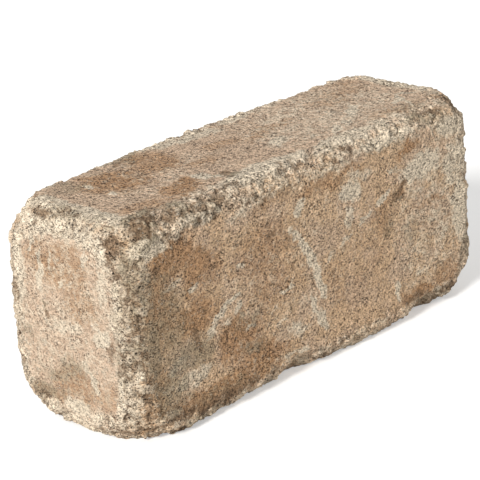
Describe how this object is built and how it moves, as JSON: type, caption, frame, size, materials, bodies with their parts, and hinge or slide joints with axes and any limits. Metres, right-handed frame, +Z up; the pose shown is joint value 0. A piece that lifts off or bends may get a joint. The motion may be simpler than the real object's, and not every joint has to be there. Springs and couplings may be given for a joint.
{
  "type": "concrete plank paver",
  "caption": "Tumbled concrete plank paver: one solid rectangular block with worn, rounded arrises and knocked-off corners.",
  "frame": {"origin": "middle of the face that the block stands on", "axes": "+X along the block's length, +Y through its thickness away from the face seen in the picture, +Z up"},
  "size_m": [0.23, 0.08, 0.1],
  "materials": {
    "concrete": "rough, sandy, tumbled"
  },
  "bodies": {
    "root": {"paver": "concrete"}
  },
  "joints": []
}
